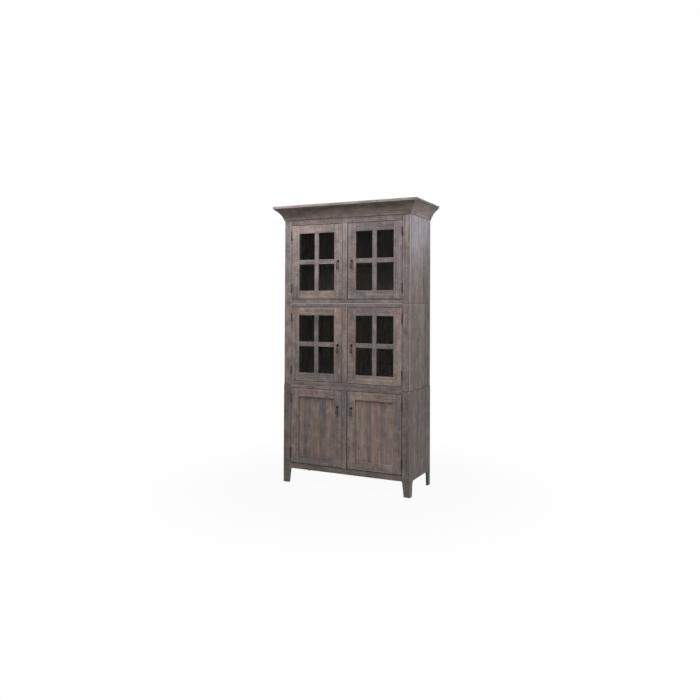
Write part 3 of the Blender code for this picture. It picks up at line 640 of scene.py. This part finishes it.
# Panes mirror little, as the photographed ones do, so their IOR is under that of thick glass
pane_glass = clear_glass("float_glass_pane", "#e9efeb", 1.18)
shelf_glass = clear_glass("float_glass_shelf", "#d4e8df", 1.45)
for case in ("upper", "middle"):
    for word, hand in HANDS:
        door = f"{case}_{word}"
        body = f"{door}_door"
        sight, front, rear = door_members(door, hand, f"{body}_glass")
        centre_x, centre_z = (sight[0] + sight[1]) / 2, (sight[2] + sight[3]) / 2
        bar = MUNTIN_WIDTH / 2
        look = (MUNTIN_TONES[door], SIGHT_EDGE, body, f"{body}_frame", DOOR_EDGE)
        square_board(f"{body}_upright_muntin", (centre_x - bar, front, sight[2] + GLUE_LINE),
                     (centre_x + bar, rear, sight[3] - GLUE_LINE), "Z", *look)
        for side, left, right in (("left", sight[0], centre_x - bar), ("right", centre_x + bar, sight[1])):
            square_board(f"{body}_{side}_cross_muntin", (left + GLUE_LINE, front, centre_z - bar),
                         (right - GLUE_LINE, rear, centre_z + bar), "X", *look)
        pane = frame["nodes"][f"{body}_glass"]
        pane.data.materials.clear()
        pane.data.materials.append(pane_glass)
    node = f"{case}_glass_shelf"
    low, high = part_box(node)
    sheet = eased_prism(node + "_sheet", block(*low[:2], *high[:2]), "Z", low.z, high.z, GROUND_ARRIS)
    settle(node + "_sheet", sheet, shelf_glass, "cabinet", node)

# Panel doors: the same frame round a flat panel glued up from boards that took the stain unevenly.
# It was sanded after gluing, so its joints are almost closed and show more by the change of tone.
PANEL_FINISH = (0.5, 0.0, 0.0)
PANEL_JOINT = 0.00005
PANEL_EDGE = 0.0003
# The share of painted shade at the panels' upper ends: the shadow of the doors' top rails over them
RAIL_SHADE = 0.32
panel_wood = stained_wood("weathered_maple_panel", STAIN, RAIL_SHADE)
PANEL_CUTS = {"left": (0.15, 0.35, 0.59, 0.76), "right": (0.16, 0.33, 0.43, 0.66, 0.80)}
PANEL_TONES = {
    "left": ((-0.1, 0.9), (-0.22, 0.45), (0.0, 0.8), (-0.22, 0.3), (-0.05, 0.8)),
    "right": ((0.2, 0.95), (0.15, 0.9), (-0.1, 0.35), (0.1, 0.85), (-0.1, 0.4), (0.2, 0.95)),
}
for word, hand in HANDS:
    body = f"lower_{word}_door"
    node = f"{body}_panel"
    door_members(f"lower_{word}", hand, node)
    glued_boards(f"{node}_board", node, body, 0, PANEL_CUTS[word], PANEL_TONES[word], "Z", PANEL_FINISH,
                 PANEL_EDGE, panel_wood, joint=PANEL_JOINT, ends=PANEL_JOINT)

# Shelf pins: turned steel pegs pushed into holes in the sides, four under each shelf, blackened as
# the rest of the ironwork is.
SHELVES = {"upper": "upper_glass_shelf", "middle": "middle_glass_shelf", "lower": "lower_wood_shelf"}
PIN_RADIUS = 0.003
PIN_INSET = 0.060
PIN_CHAMFER = 0.0006
SMALL_SIDES = 20
SHELF_GAP = 0.0003
TURNED_SHARP = 38


def black_iron(name, dark, bare):
    """Steel blackened in hot oil: an uneven, slightly brown black skin, dull in the hollows of its hammer
    and fire marks of 4 mm, and rubbed towards bare grey metal in spots."""
    material, tree, shader = new_material(name)
    place = add(tree, "TexCoord").outputs["Object"]
    marks = add(tree, "TexNoise", {"Vector": place, "Scale": 250, "Detail": 3})
    cloud = add(tree, "TexNoise", {"Vector": place, "Scale": 60, "Detail": 2})
    rubbed = add(tree, "MapRange", interpolation_type="SMOOTHSTEP", inputs={
        "Value": cloud, "From Min": 0.5, "From Max": 0.75})
    colour = add(tree, "Mix", {0: rubbed, 6: linear(dark), 7: linear(bare)}, data_type="RGBA").outputs[2]
    dull = add(tree, "MapRange", {
        "Value": marks, "From Min": 0.3, "From Max": 0.7, "To Min": 0.36, "To Max": 0.56})
    bump = add(tree, "Bump", {"Height": marks, "Strength": 0.35, "Distance": 0.0004})
    feed(tree, shader, {"Base Color": colour, "Metallic": 0.85, "Roughness": dull, "Normal": bump})
    return material


oiled_iron = black_iron("oil_blackened_steel", "#1e1a18", "#4a433f")


def turned_mesh(name, profiles, axis, sides):
    """Solids turned about an axis through the origin, each from a (radius, height) profile that starts
    and ends at no radius, or closes on itself round a bore."""
    bm = bmesh.new()
    for profile in profiles:
        rings = []
        for radius, height in profile:
            angles = [math.tau * step / sides for step in range(sides if radius > 0 else 1)]
            ring = [(radius * math.cos(angle), radius * math.sin(angle), height) for angle in angles]
            rings.append([bm.verts.new([place[i] for i in LAID[axis]]) for place in ring])
        bored = profile[0][0] > 0
        for lower, upper in zip(rings, rings[1:] + (rings[:1] if bored else [])):
            for step in range(sides):
                loop = [ring[(step + turned) % len(ring)] for ring, turned in
                        ((lower, 0), (lower, 1), (upper, 1), (upper, 0))]
                corners = list(dict.fromkeys(loop))
                if len(corners) > 2:
                    bm.faces.new(corners)
    bmesh.ops.recalc_face_normals(bm, faces=bm.faces)
    return to_mesh(name, bm, TURNED_SHARP)


def drum(core, radius, low, high, ease):
    """Profile of a drum with its two rims eased, solid or round a core of that radius."""
    rim = [(radius - ease, low), (radius, low + ease), (radius, high - ease), (radius - ease, high)]
    return [(core, low), *rim, (core, high)]


def moved(mesh, place):
    mesh.transform(Matrix.Translation(place))
    return mesh


def joined(name, meshes):
    """Several meshes as one, with their places kept."""
    bm = bmesh.new()
    for mesh in meshes:
        bm.from_mesh(mesh)
        bpy.data.meshes.remove(mesh)
    return to_mesh(name, bm)


for case, shelf in SHELVES.items():
    low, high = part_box(shelf)
    inner_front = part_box(f"{case}_face_frame")[1].y
    inner_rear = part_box(f"{case}_back")[0].y
    for word, hand in HANDS:
        node = f"{case}_{word}_side"
        inner = hand * min(abs(corner.x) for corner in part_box(node))
        start, end = sorted((inner, inner + hand * (PINS_REACH + PIN_RADIUS)))
        peg = drum(0, PIN_RADIUS, start, end, PIN_CHAMFER)
        under = low.z - SHELF_GAP - PIN_RADIUS
        pins = [moved(turned_mesh(node + "_pin", [peg], "X", SMALL_SIDES), (0, y, under))
                for y in (inner_front + PIN_INSET, inner_rear - PIN_INSET)]
        name = node + "_shelf_pins"
        settle(name, joined(name, pins), oiled_iron, "cabinet", node)

# Hinges: 2.5 in butts of blackened steel. Each leaf is rolled into knuckles round one loose pin with
# ball tips, let into the wood and held by three slotted countersunk screws.
HINGE_LENGTH = 0.0635
HINGE_INSET = 0.083
KNUCKLES = 5
KNUCKLE_RADIUS = 0.0045
KNUCKLE_EASE = 0.0004
KNUCKLE_GAP = 0.0003
KNUCKLE_SIDES = 24
HINGE_PIN_RADIUS = 0.002
PRESSED_RADIUS = 0.0019
BORE_RADIUS = 0.0022
NECK_START = 0.0028
TIP_RADIUS = 0.0034
TIP_STEPS = 8
LEAF_NEAR = 0.00015
LEAF_FAR = 0.0022
LEAF_FRONT = 0.0051
LEAF_REAR = 0.0208
LEAF_EDGE = 0.00025
# Each screw of a leaf, by its share of the leaf's depth and of the hinge's length up from the middle
LEAF_SCREWS = ((0.55, -0.36), (0.42, 0.0), (0.55, 0.36))


def knuckle_spans(first):
    pitch = HINGE_LENGTH / KNUCKLES
    foots = [-HINGE_LENGTH / 2 + pitch * index for index in range(first, KNUCKLES, 2)]
    return [(foot + KNUCKLE_GAP / 2, foot + pitch - KNUCKLE_GAP / 2) for foot in foots]


def leaf_mesh(name, hand, spans):
    """A leaf on the hand side of the pin: a plate in the wood with necks forward to its knuckles."""
    half = HINGE_LENGTH / 2
    outline = [(LEAF_REAR, -half), (LEAF_FRONT, -half)]
    for low, high in spans:
        outline += [(LEAF_FRONT, low), (NECK_START, low), (NECK_START, high), (LEAF_FRONT, high)]
    outline += [(LEAF_FRONT, half), (LEAF_REAR, half)]
    near, far = sorted((hand * LEAF_NEAR, hand * LEAF_FAR))
    return eased_prism(name, outline, "X", near, far, LEAF_EDGE)


def turning_point(body):
    """Where the joint lies that the body turns on."""
    return Vector(next(joint["pos_m"] for joint in frame["joints"] if joint["child"] == body))


def arc(centre, radii, start, end, steps):
    """Points on a part of a circle or an ellipse, from one angle to another."""
    turns = [start + (end - start) * step / steps for step in range(steps + 1)]
    return [(centre[0] + radii[0] * math.cos(turn), centre[1] + radii[1] * math.sin(turn)) for turn in turns]


def ball_tip(radius, neck, base):
    """The profile of a ball on a round neck that ends at height base, up to its pole."""
    seat = math.acos(neck / radius)
    middle = base + radius * math.sin(seat)
    return arc((0, middle), (radius, radius), -seat, math.pi / 2, TIP_STEPS)[:-1] + [(0, middle + radius)]


# The doors' turning rubs the skin of the hinges thinner than that of the pulls
rubbed_iron = black_iron("rubbed_blackened_steel", "#3e3732", "#6f665f")
ball = ball_tip(TIP_RADIUS, HINGE_PIN_RADIUS, HINGE_LENGTH / 2)
pin_profile = [(radius, -height) for radius, height in reversed(ball)] + ball
screws = {}
for case in RAIL_WIDTHS:
    for word, hand in HANDS:
        body = f"{case}_{word}_door"
        pin = turning_point(body)
        low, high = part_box(f"{body}_panel" if case == "lower" else f"{body}_glass")
        foot = low.z + GROOVE_REACH - DOOR_RAIL_WIDTH
        top = high.z - GROOVE_REACH + DOOR_RAIL_WIDTH
        for end, height in (("bottom", foot + HINGE_INSET), ("top", top - HINGE_INSET)):
            place = Vector((pin.x, pin.y, height))
            hinge = f"{case}_{word}_{end}_hinge"
            for leaf, first, core, side, owner, node in (
                (f"{hinge}_fixed_leaf", 0, PRESSED_RADIUS, hand, "cabinet", hinge),
                (f"{hinge}_moving_leaf", 1, BORE_RADIUS, -hand, body, f"{body}_frame"),
            ):
                spans = knuckle_spans(first)
                solids = [pin_profile] if owner == "cabinet" else []
                solids += [drum(core, KNUCKLE_RADIUS, *span, KNUCKLE_EASE) for span in spans]
                barrel = turned_mesh(leaf + "_barrel", solids, "Z", KNUCKLE_SIDES)
                whole = joined(leaf, [barrel, leaf_mesh(leaf + "_plate", side, spans)])
                settle(leaf, moved(whole, place), rubbed_iron, owner, node)
                for across, up in LEAF_SCREWS:
                    deep = LEAF_FRONT + (LEAF_REAR - LEAF_FRONT) * across
                    spot = place + Vector((side * LEAF_NEAR, deep, up * HINGE_LENGTH))
                    screws.setdefault(owner, []).append((spot, Vector((-side, 0, 0))))

# Screws: slotted countersunk heads, in the hinges' leaves and, from behind, through the ends of each
# back board into the case.
SCREW_RADIUS = 0.0028
SCREW_DEPTH = 0.0012
SLOT_WIDTH = 0.0007
SLOT_DEPTH = 0.0006
SCREW_PROUD = 0.00008
SCREW_SEED = 5
BACK_SCREW_INSET = 0.014
for case in RAIL_WIDTHS:
    low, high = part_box(f"{case}_back")
    for index in range(BACK_BOARDS):
        x = low.x + (high.x - low.x) * (index + 0.5) / BACK_BOARDS
        for z in (low.z + BACK_SCREW_INSET, high.z - BACK_SCREW_INSET):
            screws["cabinet"].append((Vector((x, high.y, z)), Vector((0, 1, 0))))


def new_tree(name, made, inputs):
    """A Geometry Nodes tree with its one output and its inputs, and the sockets that give them."""
    tree = bpy.data.node_groups.new(name, "GeometryNodeTree")
    for label, kind in inputs.items():
        tree.interface.new_socket(name=label, in_out="INPUT", socket_type="NodeSocket" + kind)
    tree.interface.new_socket(name=made, in_out="OUTPUT", socket_type="NodeSocketGeometry")
    return tree, add(tree, "NodeGroupInput").outputs


def ended(tree, shape, metal):
    """The tree, with its shape made real and of that metal as its output."""
    real = add(tree, "GeometryNodeRealizeInstances", [shape])
    made = add(tree, "GeometryNodeSetMaterial", {"Geometry": real, "Material": metal})
    add(tree, "NodeGroupOutput", [made])
    return tree


def screw_tree():
    """A slotted head on each point, facing as the point says, its slot turned at random."""
    tree, given = new_tree("countersunk_screws", "Screws", {
        "Points": "Geometry", "Head Radius": "Float", "Head Depth": "Float", "Slot Width": "Float",
        "Slot Depth": "Float", "Proud": "Float", "Seed": "Int", "Metal": "Material"})
    shank, slot_length, slot_height = (
        add(tree, "Math", (given[word], share), operation="MULTIPLY")
        for word, share in (("Head Radius", 0.5), ("Head Radius", 3.0), ("Slot Depth", 2.0)))
    head = add(tree, "GeometryNodeMeshCone", {
        "Vertices": SMALL_SIDES, "Radius Top": given["Head Radius"], "Radius Bottom": shank,
        "Depth": given["Head Depth"]})
    slot_size = add(tree, "CombineXYZ", (slot_length, given["Slot Width"], slot_height))
    slot = add(tree, "GeometryNodeMeshCube", {"Size": slot_size})
    lifted = add(tree, "CombineXYZ", {2: given["Head Depth"]})
    slot_up = add(tree, "GeometryNodeTransform", {"Geometry": slot, "Translation": lifted})
    cut = add(tree, "GeometryNodeMeshBoolean", {"Mesh 1": head, "Mesh 2": slot_up})
    sunk = add(tree, "Math", (given["Proud"], given["Head Depth"]), operation="SUBTRACT")
    down = add(tree, "CombineXYZ", {2: sunk})
    bedded = add(tree, "GeometryNodeTransform", {"Geometry": cut, "Translation": down})
    facing = add(tree, "GeometryNodeInputNamedAttribute", {"Name": "facing"}, data_type="FLOAT_VECTOR")
    aim = add(tree, "FunctionNodeAlignRotationToVector", {"Vector": facing}, axis="Z")
    half_turn = add(tree, "FunctionNodeRandomValue", {3: math.pi, "Seed": given["Seed"]}, data_type="FLOAT")
    spin = add(tree, "CombineXYZ", {2: half_turn.outputs[1]})
    spin = add(tree, "FunctionNodeEulerToRotation", [spin])
    turned = add(tree, "FunctionNodeRotateRotation", {"Rotation": aim, "Rotate By": spin},
                 rotation_space="LOCAL")
    placed = add(tree, "GeometryNodeInstanceOnPoints", {
        "Points": given["Points"], "Instance": bedded, "Rotation": turned})
    return ended(tree, placed, given["Metal"])


def grown(name, mesh, tree, values):
    """The plain mesh that a Geometry Nodes tree makes of a mesh, its inputs set by their identifiers."""
    blank = linked(name, mesh)
    growth = blank.modifiers.new(name, "NODES")
    growth.node_group = tree
    for item in tree.interface.items_tree:
        if item.in_out == "INPUT" and item.name in values:
            growth[item.identifier] = values[item.name]
    return plain_mesh(blank, name)


countersunk = screw_tree()
for owner, spots in screws.items():
    points = bpy.data.meshes.new(owner + "_screw_points")
    points.from_pydata([spot for spot, facing in spots], [], [])
    facings = [number for spot, facing in spots for number in facing]
    points.attributes.new("facing", "FLOAT_VECTOR", "POINT").data.foreach_set("vector", facings)
    mesh = grown(owner + "_screws", points, countersunk, {
        "Head Radius": SCREW_RADIUS, "Head Depth": SCREW_DEPTH, "Slot Width": SLOT_WIDTH,
        "Slot Depth": SLOT_DEPTH, "Proud": SCREW_PROUD, "Seed": SCREW_SEED, "Metal": oiled_iron})
    settle(owner + "_screws", mesh, oiled_iron, owner)

# Drop pulls: a forged post with a domed rosette, screwed from behind, its eye bored crosswise for a
# wrought loop that hangs from it, thin at the top and heavier at the foot.
EYE_DEPTH = 0.013
ROSETTE_RADIUS = 0.0095
ROSETTE_RIM = 0.0015
ROSETTE_DOME = 0.0035
ROSETTE_STEP = 0.001
ROSETTE_BACK_EASE = 0.0003
ROSETTE_EASE = 0.0004
DOME_STEPS = 8
POST_RADIUS = 0.0033
POST_TIP_RADIUS = 0.0040
POST_REACH = 0.0195
POST_SIDES = 36
EYE_RADIUS = 0.0022
LOOP_LENGTH = 0.058
LOOP_TOP_HALF_WIDTH = 0.0053
LOOP_FOOT_HALF_WIDTH = 0.0070
LOOP_CORNER = 0.0025
LOOP_TOP_BAR = 0.0011
LOOP_FOOT_BAR = 0.0030
LOOP_SWELL = 1.4
LOOP_TURN_STEPS = 8
BAR_SIDES = 16


def post_mesh(name):
    """Rosette and post, turned about the line of the screw, with the eye bored through the tip."""
    profile = [(0, 0), (ROSETTE_RADIUS - ROSETTE_BACK_EASE, 0), (ROSETTE_RADIUS, ROSETTE_BACK_EASE),
               (ROSETTE_RADIUS, ROSETTE_RIM - ROSETTE_EASE), (ROSETTE_RADIUS - ROSETTE_EASE, ROSETTE_RIM)]
    dome = (ROSETTE_RADIUS - POST_RADIUS - ROSETTE_STEP, ROSETTE_DOME)
    profile += arc((POST_RADIUS, ROSETTE_RIM), dome, 0, math.pi / 2, DOME_STEPS)[1:]
    neck_end = POST_REACH - POST_TIP_RADIUS - math.sqrt(POST_TIP_RADIUS ** 2 - POST_RADIUS ** 2)
    profile += ball_tip(POST_TIP_RADIUS, POST_RADIUS, neck_end)
    post = turned_mesh(name, [[(radius, -out) for radius, out in profile]], "Y", POST_SIDES)
    reach = POST_TIP_RADIUS * 2
    drill = turned_mesh(name + "_drill", [block(0, -reach, EYE_RADIUS, reach)], "X", SMALL_SIDES)
    drill = linked(name + "_drill", moved(drill, (0, -EYE_DEPTH, 0)))
    blank = linked(name + "_blank", post)
    cut = blank.modifiers.new("eye", "BOOLEAN")
    cut.operation = "DIFFERENCE"
    cut.object = drill
    mesh = plain_mesh(blank, name)
    bpy.data.objects.remove(drill)
    return mesh


def loop_line(name):
    """The loop's centre line, hung from the middle of its top bar, with bar radii."""
    corner, foot = LOOP_CORNER, LOOP_FOOT_HALF_WIDTH
    half = arc((LOOP_TOP_HALF_WIDTH - corner, -corner), (corner, corner), math.pi / 2, 0, LOOP_TURN_STEPS)
    half += arc((0, foot - LOOP_LENGTH), (foot, foot), 0, -math.pi / 2, LOOP_TURN_STEPS * 2)
    line = half + [(-x, z) for x, z in reversed(half[:-1])]
    mesh = bpy.data.meshes.new(name)
    count = len(line)
    mesh.from_pydata([(x, 0, z) for x, z in line], [(i, (i + 1) % count) for i in range(count)], [])
    swell = LOOP_FOOT_BAR - LOOP_TOP_BAR
    radii = [LOOP_TOP_BAR + swell * (abs(z) / LOOP_LENGTH) ** LOOP_SWELL for x, z in line]
    mesh.attributes.new("bar_radius", "FLOAT", "POINT").data.foreach_set("value", radii)
    return mesh


def bar_tree():
    """A round bar along a line, as thick at each point as the line says."""
    tree, given = new_tree("wrought_bar", "Bar", {
        "Line": "Geometry", "Bar Sides": "Int", "Metal": "Material"})
    curve = add(tree, "GeometryNodeMeshToCurve", [given["Line"]])
    radius = add(tree, "GeometryNodeInputNamedAttribute", {"Name": "bar_radius"}, data_type="FLOAT")
    ring = add(tree, "GeometryNodeCurvePrimitiveCircle", {"Resolution": given["Bar Sides"], "Radius": 1.0})
    bar = add(tree, "GeometryNodeCurveToMesh", {"Curve": curve, "Profile Curve": ring, "Scale": radius})
    return ended(tree, add(tree, "GeometryNodeSetShadeSmooth", {"Geometry": bar}), given["Metal"])


wrought = bar_tree()
for case in RAIL_WIDTHS:
    for word, hand in HANDS:
        door = f"{case}_{word}"
        eye = turning_point(f"{door}_drop")
        post = moved(post_mesh(f"{door}_turned_post"), eye + Vector((0, EYE_DEPTH, 0)))
        settle(f"{door}_turned_post", post, oiled_iron, f"{door}_door", f"{door}_pull_post")
        loop = grown(f"{door}_wrought_loop", loop_line(f"{door}_loop_line"), wrought,
                     {"Bar Sides": BAR_SIDES, "Metal": oiled_iron})
        settle(f"{door}_wrought_loop", moved(loop, eye), oiled_iron, f"{door}_drop", f"{door}_pull_drop")

# Crown: three lengths of sprung cove, run from the same maple and stained after fitting. They lean
# out under the cap, are mitred at the front corners and are nailed to the upper case.
CROWN_PROJECTION = 0.065
CROWN_FOOT_WIDTH = 0.005
CROWN_TOP_FLAT = 0.006
CROWN_COVE_SAG = 0.010
CROWN_WOOD = 0.016
CROWN_EASE = 0.0012
FOOT_FLAT_EASE = 0.001
TOP_FLAT_EASE = 0.0008
BEHIND_GAP = 0.0003
COVE_STEPS = 16
COVE_SHARP = 30
MITRE_GAP = 0.00015
CROWN_FINISH = (0.3, 0.3, 0.0)


def cove_section(foot, top):
    """Section of the cove as (distance out from the case, height), its two show edges eased."""
    start = Vector((CROWN_FOOT_WIDTH, foot + CROWN_EASE))
    end = Vector((CROWN_PROJECTION - TOP_FLAT_EASE, top - CROWN_TOP_FLAT))
    chord = end - start
    radius = chord.length ** 2 / CROWN_COVE_SAG / 8 + CROWN_COVE_SAG / 2
    normal = Vector((chord.y, -chord.x)).normalized()
    centre = (start + end) / 2 + normal * (radius - CROWN_COVE_SAG)
    first = math.atan2(start.y - centre.y, start.x - centre.x)
    last = math.atan2(end.y - centre.y, end.x - centre.x)
    sweep = (last - first + math.pi) % math.tau - math.pi
    cove = arc(centre, (radius, radius), first, first + sweep, COVE_STEPS)
    return [(BEHIND_GAP, foot), (CROWN_FOOT_WIDTH - FOOT_FLAT_EASE, foot), *cove,
            (CROWN_PROJECTION, top - CROWN_TOP_FLAT + CROWN_EASE), (CROWN_PROJECTION, top),
            (CROWN_PROJECTION - CROWN_WOOD, top), (BEHIND_GAP, foot + CROWN_WOOD)]


def mitred_length(word, section, place_low, place_high, grain, tone):
    """A loft of the section between two mitred ends, its board coordinates laid along and round it."""
    bm = lofted(*([place(out, z) for out, z in section] for place in (place_low, place_high)))
    mesh = to_mesh(f"crown_{word}_length", bm, COVE_SHARP)
    mark_board(mesh, grain, tone, CROWN_FINISH)
    settle(f"crown_{word}_length", mesh, outer_wood, "cabinet", f"crown_{word}")


low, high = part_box("crown_front")
upper_low, upper_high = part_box("upper_face_frame")
section = cove_section(low.z, high.z)
half, front, rear = upper_high.x, upper_low.y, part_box("upper_back")[1].y
mitred_length("front", section, lambda out, z: (-half - out + MITRE_GAP, front - out, z),
              lambda out, z: (half + out - MITRE_GAP, front - out, z), "X", (-0.33, 0.75, 0.5))
# The right length grows darker towards its rear end: painted shade of the cap over it
for word, hand, tone in (("left", -1, (-0.2, 0.5)), ("right", 1, (-0.27, 0.5, -0.45))):
    mitred_length(word, section, lambda out, z: (hand * (half + out), front - out + MITRE_GAP, z),
                  lambda out, z: (hand * (half + out), rear, z), "Y", tone)

# Cap: four maple boards glued edge to edge, planed flat and laid over the case and the crown. Its
# edges are left square but for a rubbed arris.
CAP_CUTS = (0.27, 0.51, 0.79)
CAP_TONES = ((0.45, -0.2, -0.9), (0.2, -0.1, 0.0), (0.2, -0.1, 0.0), (0.1, -0.1, 0.0))
CAP_FINISH = (0.5, 0.55, 0.1)
CAP_EDGE = 0.0018
cap_wood = stained_wood("weathered_maple_cap", STAIN, end_grain=True)
glued_boards("cap_board", "cap_board", "cabinet", 1, CAP_CUTS, CAP_TONES, "X", CAP_FINISH, CAP_EDGE, cap_wood)

low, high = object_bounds()
